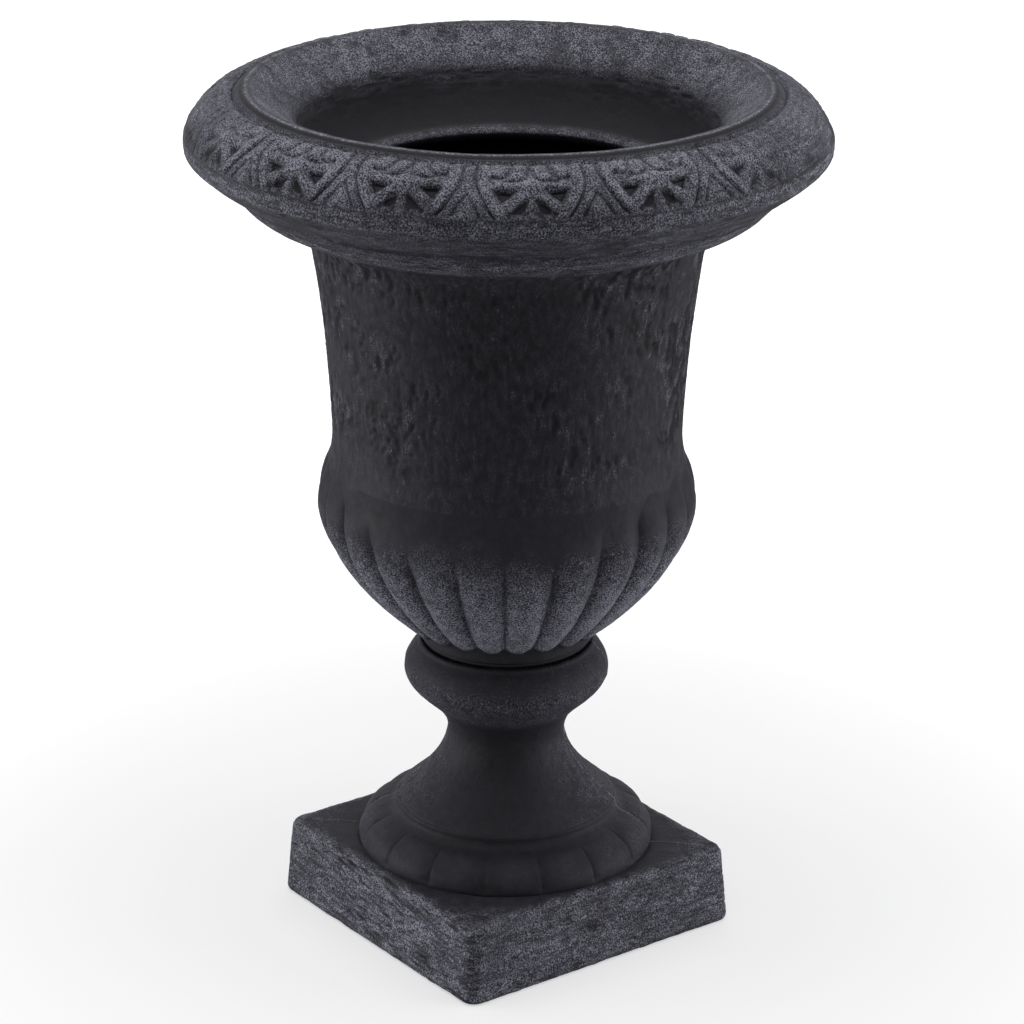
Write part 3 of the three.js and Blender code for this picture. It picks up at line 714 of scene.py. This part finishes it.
def hexagon_points(low, high, across, chamfer_low, chamfer_high):
    """Rings of a hexagon: radius a / cos(angle from a flat's middle), chamfered by a cone."""
    angle = np.linspace(0, 2 * math.pi, 144, endpoint=False)
    from_flat = (angle + math.pi / 6) % (math.pi / 3) - math.pi / 6
    flat = across / 2 / np.cos(from_flat)
    height = np.r_[np.linspace(low, low + 1, 9), np.linspace(high - 1, high, 9)][:, None]
    limit = across / 2 * 0.96 + np.minimum(
        np.where(chamfer_low, (height - low) * 1.73, 99),
        np.where(chamfer_high, (high - height) * 1.73, 99),
    )
    radius = np.minimum(flat, limit)
    return np.stack([radius * np.cos(angle), radius * np.sin(angle), height + 0 * angle], -1)


def threaded_points(low, high, radius, pitch):
    """Rings of a threaded rod: a radius that rises and falls along a helix, as rounded threads."""
    angle = np.linspace(0, 2 * math.pi, 48, endpoint=False)
    height = np.linspace(low, high, round((high - low) / pitch * 8))[:, None]
    turn = height / pitch - angle / (2 * math.pi)
    depth = 0.55 * np.abs(2 * (turn - np.floor(turn)) - 1) ** 1.2
    ends = 0.5 * (1 - ramp(height, low, low + 0.8))
    r = radius - np.maximum(depth, ends)
    return np.stack([r * np.cos(angle), r * np.sin(angle), height + 0 * angle], -1)


def make_bolt():
    """The bolt: threaded shank and chamfered head in one body, rings from its end to its top."""
    shank = threaded_points(low=176.35, high=206.4, radius=3.95, pitch=1.25)
    head = hexagon_points(206.6, 211.8, HEX_ACROSS, chamfer_low=False, chamfer_high=True)
    count = shank.shape[1]
    steps = np.linspace(0, count, head.shape[1], endpoint=False)
    low = np.floor(steps).astype(int)
    part = (steps - low)[None, :, None]
    shank = (1 - part) * shank[:, low % count] + part * shank[:, (low + 1) % count]
    dome = head[-1:] * [0.4, 0.4, 1]
    return solid_body("hex_bolt", np.concatenate([shank, head, dome]))


def make_nut():
    """The nut: a hexagon chamfered at both ends round a bore."""
    low, high = 179.3, 185.8
    outside = hexagon_points(low, high, HEX_ACROSS, chamfer_low=True, chamfer_high=True)
    angle = np.linspace(0, 2 * math.pi, outside.shape[1], endpoint=False)
    bore = [(4.9, high), (4.3, high - 0.6), (4.3, low + 0.6), (4.9, low)]
    c, s = np.cos(angle), np.sin(angle)
    inside = np.array([np.stack([r * c, r * s, z + 0 * angle], -1) for r, z in bore])
    return ring_body("hex_nut_turned", np.concatenate([outside, inside]))


def make_plug():
    """The stopper: a tapered shank with two sealing ribs under a domed head with a finger rim."""
    shank = [(6.4, VASE_SEAT), (6.9, 196.3), (7.0, 197.6), (7.45, 198.1), (7.0, 198.6)]
    shank += [(7.2, 200.0), (7.65, 200.6), (7.2, 201.2), (7.5, 202.35)]
    head = [(10.6, 202.35), (10.95, 202.8), (10.95, 203.6), (10.5, 204.6), (9.6, 205.5)]
    head += [(8.6, 205.75), (7.8, 205.4), (7.2, 204.7), (3.0, 204.3), (1.0, 204.3)]
    return solid_body("drain_stopper", ring_points(shank + head, 64, DRAIN_PLACE))


# ---- Finishes ----------------------------------------------------------------------------------

DARK = (0.0135, 0.0132, 0.0165, 1)
SANDY = (0.24, 0.243, 0.29, 1)
PITTED = (0.006, 0.006, 0.0075, 1)


def attach(tree, socket, value):
    """Links a socket to another one, or sets it to a value."""
    if isinstance(value, bpy.types.NodeSocket):
        tree.links.new(value, socket)
    else:
        socket.default_value = value


def node(tree, kind, inputs=None, **settings):
    """A shader node with its settings, whose inputs are linked from sockets or set to values."""
    made = tree.nodes.new(kind)
    for key, value in settings.items():
        setattr(made, key, value)
    for socket, value in (inputs or {}).items():
        attach(tree, made.inputs[socket], value)
    return made


def placed(tree, group, **inputs):
    """The outputs of a node group that is put into a material, with its inputs linked or set."""
    return node(tree, "ShaderNodeGroup", inputs, node_tree=group).outputs


def arithmetic(tree, operation, *values):
    """One Math node on these values. MULTIPLY_ADD is the first times the second plus the third."""
    return node(tree, "ShaderNodeMath", dict(enumerate(values)), operation=operation).outputs[0]


def mapped(tree, value, low, high, new_low=0.0, new_high=1.0):
    """A value that goes from new_low to new_high, eased, as the first goes from low to high."""
    inputs = {"Value": value, "From Min": low, "From Max": high}
    inputs |= {"To Min": new_low, "To Max": new_high}
    made = node(tree, "ShaderNodeMapRange", inputs, interpolation_type="SMOOTHSTEP")
    return made.outputs["Result"]


def noise(tree, vector, scale, detail=3.0, roughness=0.6):
    """Noise from 0 to 1 with this many lumps to the metre, and detail octaves of finer ones."""
    inputs = {"Vector": vector, "Scale": scale, "Detail": detail, "Roughness": roughness}
    return node(tree, "ShaderNodeTexNoise", inputs).outputs["Fac"]


def blended(tree, share, first, second):
    """A colour that goes from the first to the second as the share goes from 0 to 1."""
    made = node(tree, "ShaderNodeMix", data_type="RGBA")
    sockets = {socket.identifier: socket for socket in made.inputs}
    for name, value in (("Factor_Float", share), ("A_Color", first), ("B_Color", second)):
        attach(tree, sockets[name], value)
    return made.outputs[2]


def effect(name, inputs, outputs):
    """An empty shader node group with these sockets, and its input and output nodes."""
    tree = bpy.data.node_groups.new(name, "ShaderNodeTree")
    for socket, (kind, value) in inputs.items():
        made = tree.interface.new_socket(socket, in_out="INPUT", socket_type="NodeSocket" + kind)
        if value is not None:
            made.default_value = value
    for socket in outputs:
        tree.interface.new_socket(socket, in_out="OUTPUT", socket_type="NodeSocketFloat")
    given, put = tree.nodes.new("NodeGroupInput"), tree.nodes.new("NodeGroupOutput")
    return tree, given.outputs, put.inputs


def make_sand_coat():
    """The share of pale sand at each point: the sand value, varied by grains of a millimetre, by
    mottling and by slow clouds, and a few bright grains in loose patches. Grains are faint where
    there is little sand. The light and dark grains and the bright grains are partly real sand and
    partly painted glints and specks of shade on the skin's small bumps."""
    inputs = {"Vector": ("Vector", None), "Sand": ("Float", 0.5)}
    tree, given, put = effect("sand coat", inputs, ("Share", "Height"))
    place = given["Vector"]
    grains = noise(tree, place, 1050.0, 1.0, 0.5)
    strength = mapped(tree, given["Sand"], 0.05, 0.2, 0.1, 1.0)
    # Light and dark grains: partly real sand and partly painted glints and specks of shade.
    change = arithmetic(tree, "MULTIPLY_ADD", grains, 9.5, -4.75)
    change = arithmetic(tree, "MULTIPLY", change, strength)
    change = arithmetic(tree, "MULTIPLY_ADD", noise(tree, place, 170.0, 3.0, 0.7), 1.6, change)
    change = arithmetic(tree, "MULTIPLY_ADD", noise(tree, place, 11.0, 3.0, 0.6), 1.0, change)
    factor = arithmetic(tree, "MAXIMUM", arithmetic(tree, "SUBTRACT", change, 0.3), 0.1)
    share = arithmetic(tree, "MULTIPLY_ADD", given["Sand"], 0.5, 0.01)
    share = arithmetic(tree, "MULTIPLY", share, factor)
    patches = mapped(tree, noise(tree, place, 36.0, 2.0, 0.6), 0.4, 0.62, 0.12, 0.45)
    # Bright grains: partly pale sand grains and partly painted glints.
    bright = mapped(tree, noise(tree, place, 700.0, 1.0, 0.5), 0.62, 0.74)
    bright = arithmetic(tree, "MULTIPLY", arithmetic(tree, "MULTIPLY", bright, patches), strength)
    tree.links.new(arithmetic(tree, "ADD", share, bright), put["Share"])
    tree.links.new(arithmetic(tree, "MULTIPLY", grains, strength), put["Height"])
    return tree


def make_pits():
    """Pits: dark hollows, long where the vector is squeezed one way, that gather in patches."""
    inputs = {"Vector": ("Vector", None), "Scale": ("Float", 120.0), "Amount": ("Float", 0.5)}
    tree, given, put = effect("pits", inputs, ("Pits", "Streaks", "Height"))
    marks = noise(tree, given["Vector"], given["Scale"], 4.0, 0.62)
    patches = mapped(tree, noise(tree, given["Vector"], 24.0, 2.0, 0.5), 0.35, 0.65)
    hollow = mapped(tree, marks, 0.54, 0.66)
    pits = arithmetic(tree, "MULTIPLY", hollow, patches)
    pits = arithmetic(tree, "MULTIPLY", pits, given["Amount"])
    tree.links.new(pits, put["Pits"])
    tree.links.new(mapped(tree, marks, 0.35, 0.65, 1.0, -1.0), put["Streaks"])
    sunk = arithmetic(tree, "MULTIPLY", pits, -1.0)
    tree.links.new(arithmetic(tree, "MULTIPLY_ADD", marks, 0.5, sunk), put["Height"])
    return tree


SAND_COAT, PITS = make_sand_coat(), make_pits()


def new_material(name):
    """A material with its node tree and its Principled shader."""
    material = bpy.data.materials.new(name)
    material.use_nodes = True
    return material, material.node_tree, material.node_tree.nodes["Principled BSDF"]


def stone_resin(name, pits, squeeze=(1, 1, 1), bump=0.6):
    """Charcoal resin with stone sand in it, as much as each point's sand value says, and dark
    pits where it is sandy. In places the sand value also carries painted light and shade."""
    material, tree, shader = new_material(name)
    here = node(tree, "ShaderNodeTexCoord").outputs["Object"]
    long = node(tree, "ShaderNodeMapping", {"Vector": here, "Scale": squeeze}).outputs[0]
    sand = node(tree, "ShaderNodeAttribute", attribute_name="sand").outputs["Fac"]
    amount = mapped(tree, sand, 0.06, 0.3, 0.1 * pits, pits)
    worn = placed(tree, PITS, Vector=long, Scale=110.0, Amount=amount)
    uneven = arithmetic(tree, "MULTIPLY_ADD", worn["Streaks"], 0.7 * pits, 1.0)
    coat = placed(tree, SAND_COAT, Vector=here, Sand=arithmetic(tree, "MULTIPLY", sand, uneven))
    deep = blended(tree, mapped(tree, sand, 0.0, 0.07), PITTED, DARK)
    colour = blended(tree, coat["Share"], deep, SANDY)
    tree.links.new(blended(tree, worn["Pits"], colour, PITTED), shader.inputs["Base Color"])
    tree.links.new(mapped(tree, coat["Share"], 0.0, 0.4, 0.55, 0.82), shader.inputs["Roughness"])
    shader.inputs["Specular IOR Level"].default_value = 0.07
    height = arithmetic(tree, "ADD", worn["Height"], coat["Height"])
    bumps = {"Height": height, "Distance": 0.0008, "Strength": bump}
    raised = node(tree, "ShaderNodeBump", bumps)
    tree.links.new(raised.outputs[0], shader.inputs["Normal"])
    return material


def black_rubber():
    """Matt rubber with a fine dusty grain."""
    material, tree, shader = new_material("black rubber")
    here = node(tree, "ShaderNodeTexCoord").outputs["Object"]
    grain = noise(tree, here, 900.0, 3.0, 0.6)
    ramp_node = node(tree, "ShaderNodeValToRGB", {"Fac": grain})
    ramp_node.color_ramp.elements[0].color = (0.005, 0.005, 0.006, 1)
    ramp_node.color_ramp.elements[1].color = (0.016, 0.016, 0.017, 1)
    shader.inputs["Specular IOR Level"].default_value = 0.15
    tree.links.new(ramp_node.outputs[0], shader.inputs["Base Color"])
    tree.links.new(mapped(tree, grain, 0.3, 0.7, 0.62, 0.85), shader.inputs["Roughness"])
    raised = node(tree, "ShaderNodeBump", {"Height": grain, "Distance": 0.0002, "Strength": 0.5})
    tree.links.new(raised.outputs[0], shader.inputs["Normal"])
    return material


def zinc_steel():
    """Zinc-plated steel: satin metal with brushed variation and dull grey spots."""
    material, tree, shader = new_material("zinc steel")
    here = node(tree, "ShaderNodeTexCoord").outputs["Object"]
    spots = noise(tree, here, 420.0, 4.0, 0.6)
    brushed = node(tree, "ShaderNodeMapping", {"Vector": here, "Scale": (1, 1, 14)}).outputs[0]
    lines = noise(tree, brushed, 500.0, 2.0, 0.5)
    ramp_node = node(tree, "ShaderNodeValToRGB", {"Fac": spots})
    ramp_node.color_ramp.elements[0].color = (0.36, 0.37, 0.39, 1)
    ramp_node.color_ramp.elements[1].color = (0.66, 0.67, 0.69, 1)
    tree.links.new(ramp_node.outputs[0], shader.inputs["Base Color"])
    shader.inputs["Metallic"].default_value = 1.0
    tree.links.new(mapped(tree, lines, 0.3, 0.7, 0.28, 0.5), shader.inputs["Roughness"])
    return material


# ---- Dressing the frame ------------------------------------------------------------------------


def dress(piece, finish, cad_node, body="urn"):
    """Gives a piece its finish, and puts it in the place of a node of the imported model."""
    piece.data.materials.clear()
    piece.data.materials.append(finish)
    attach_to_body(piece, body)
    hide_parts(cad_node)


border_finish = stone_resin("resin border", 0.3)
mouth_finish = stone_resin("resin mouth", 0.45)
under_finish = stone_resin("resin underside", 0.6, (1, 1, 4))
neck_finish = stone_resin("resin neck", 1.1, (2.4, 2.4, 1.1))
bowl_finish = stone_resin("resin bowl", 0.3)
stem_finish = stone_resin("resin stem", 0.3)
plinth_finish = stone_resin("resin plinth", 0.6, (1, 1, 4))
rubber = black_rubber()
zinc = zinc_steel()

finishes = {
    "rim_border_front": border_finish,
    "rim_border_back": border_finish,
    "rim_mouth": mouth_finish,
    "rim_underside": under_finish,
    "vase_neck": neck_finish,
    "vase_bowl": bowl_finish,
    "bowl_floor": stem_finish,
    "plinth": plinth_finish,
    "foot": stem_finish,
    "stem": stem_finish,
    "stem_top_plate": stem_finish,
}
for piece in make_rim() + make_neck_and_bowl():
    dress(piece, finishes[piece.name], "vase_shell")
for piece in make_pedestal():
    dress(piece, finishes[piece.name], "pedestal_shell")
gasket, bolt_seal, bolt_washer, nut_washer = make_seals_and_washers()
dress(gasket, rubber, "seat_gasket")
dress(bolt_seal, rubber, "bolt_seal")
dress(bolt_washer, zinc, "bolt_washer")
dress(nut_washer, zinc, "nut_washer")
dress(make_bolt(), zinc, "tie_bolt")
dress(make_nut(), zinc, "hex_nut")
dress(make_plug(), rubber, "drain_plug", "plug")


# ---- Studio ------------------------------------------------------------------------------------


def make_floor():
    """A pale floor that keeps the shadow. The camera sees it lifted to white away from the urn."""
    half = 9000.0
    corners = np.array([(-half, -half, 0), (half, -half, 0), (half, half, 0), (-half, half, 0)])
    floor = mesh_piece("floor", corners, [np.array([[0, 1, 2, 3]])], [False])
    material, tree, shader = new_material("floor paint")
    shader.inputs["Base Color"].default_value = (0.5, 0.5, 0.51, 1)
    shader.inputs["Roughness"].default_value = 0.95
    shader.inputs["Specular IOR Level"].default_value = 0.1
    here = node(tree, "ShaderNodeTexCoord").outputs["Object"]
    away = node(tree, "ShaderNodeVectorMath", {0: here}, operation="LENGTH").outputs["Value"]
    seen = node(tree, "ShaderNodeLightPath").outputs["Is Camera Ray"]
    lift = node(tree, "ShaderNodeEmission", {"Strength": mapped(tree, away, 0.3, 1.1, 0.5, 1.0)})
    both = node(tree, "ShaderNodeAddShader", {0: shader.outputs[0], 1: lift.outputs[0]})
    shown = node(tree, "ShaderNodeMixShader", {0: seen, 1: shader.outputs[0], 2: both.outputs[0]})
    tree.links.new(shown.outputs[0], tree.nodes["Material Output"].inputs["Surface"])
    floor.data.materials.append(material)


def make_world():
    """Soft light from all round, which the camera and reflections see as plain white."""
    world = bpy.data.worlds.new("studio")
    world.use_nodes = True
    bpy.context.scene.world = world
    tree = world.node_tree
    tree.nodes.clear()
    path = node(tree, "ShaderNodeLightPath").outputs
    seen = arithmetic(tree, "MAXIMUM", path["Is Camera Ray"], path["Is Glossy Ray"])
    seen = arithmetic(tree, "MAXIMUM", seen, path["Is Transmission Ray"])
    light = node(tree, "ShaderNodeBackground", {"Color": (0.95, 0.97, 1.0, 1), "Strength": 0.04})
    white = node(tree, "ShaderNodeBackground", {"Color": (1, 1, 1, 1), "Strength": 1.0})
    mixed = node(tree, "ShaderNodeMixShader", {0: seen, 1: light.outputs[0], 2: white.outputs[0]})
    out = node(tree, "ShaderNodeOutputWorld")
    tree.links.new(mixed.outputs[0], out.inputs["Surface"])


def aim(thing, place, target):
    """Puts a lamp or camera at a place and points it at a target, upright. Both are in metres."""
    away = np.array(place, float) - np.array(target, float)
    flat = math.hypot(away[0], away[1])
    thing.location = place
    thing.rotation_euler = (math.atan2(flat, away[2]), 0, math.atan2(away[0], -away[1]))


def make_lamp(name, place, target, size, power):
    """A rectangular lamp, aimed at a target, with its size in metres and its power in watts."""
    lamp = bpy.data.lights.new(name, "AREA")
    lamp.shape = "RECTANGLE"
    lamp.size, lamp.size_y = size
    lamp.energy = power
    thing = bpy.data.objects.new(name, lamp)
    bpy.context.scene.collection.objects.link(thing)
    aim(thing, place, target)


def make_camera():
    """The photograph's angle: 21 degrees down, a corner of the plinth left of the middle."""
    camera = bpy.data.cameras.new("camera")
    camera.sensor_width = 36.0
    camera.lens = 135.18
    thing = bpy.data.objects.new("camera", camera)
    bpy.context.scene.collection.objects.link(thing)
    around, down, away = math.radians(-36.81), math.radians(21.005), 2.458
    middle = np.array([0, 0, 0.28])
    level = np.array([math.cos(around), math.sin(around), 0]) * math.cos(down)
    toward = level + np.array([0, 0, math.sin(down)])
    right = np.array([-math.sin(around), math.cos(around), 0])
    aim(thing, middle + toward * away, middle + 0.0032 * right + np.array([0, 0, -0.0018]))
    thing.rotation_euler.rotate_axis("Z", math.radians(0.3))
    bpy.context.scene.camera = thing


make_floor()
make_world()
make_lamp("overhead", (0.0, 0.0, 2.2), (0, 0, 0.3), (3.2, 3.2), 66)
make_lamp("left side", (-0.78, -1.28, 0.2), (0, 0, 0.2), (1.3, 0.36), 17)
make_lamp("right side", (1.06, 1.06, 0.2), (0, 0, 0.2), (1.3, 0.36), 15)
make_camera()
bpy.context.scene.view_settings.view_transform = "Standard"
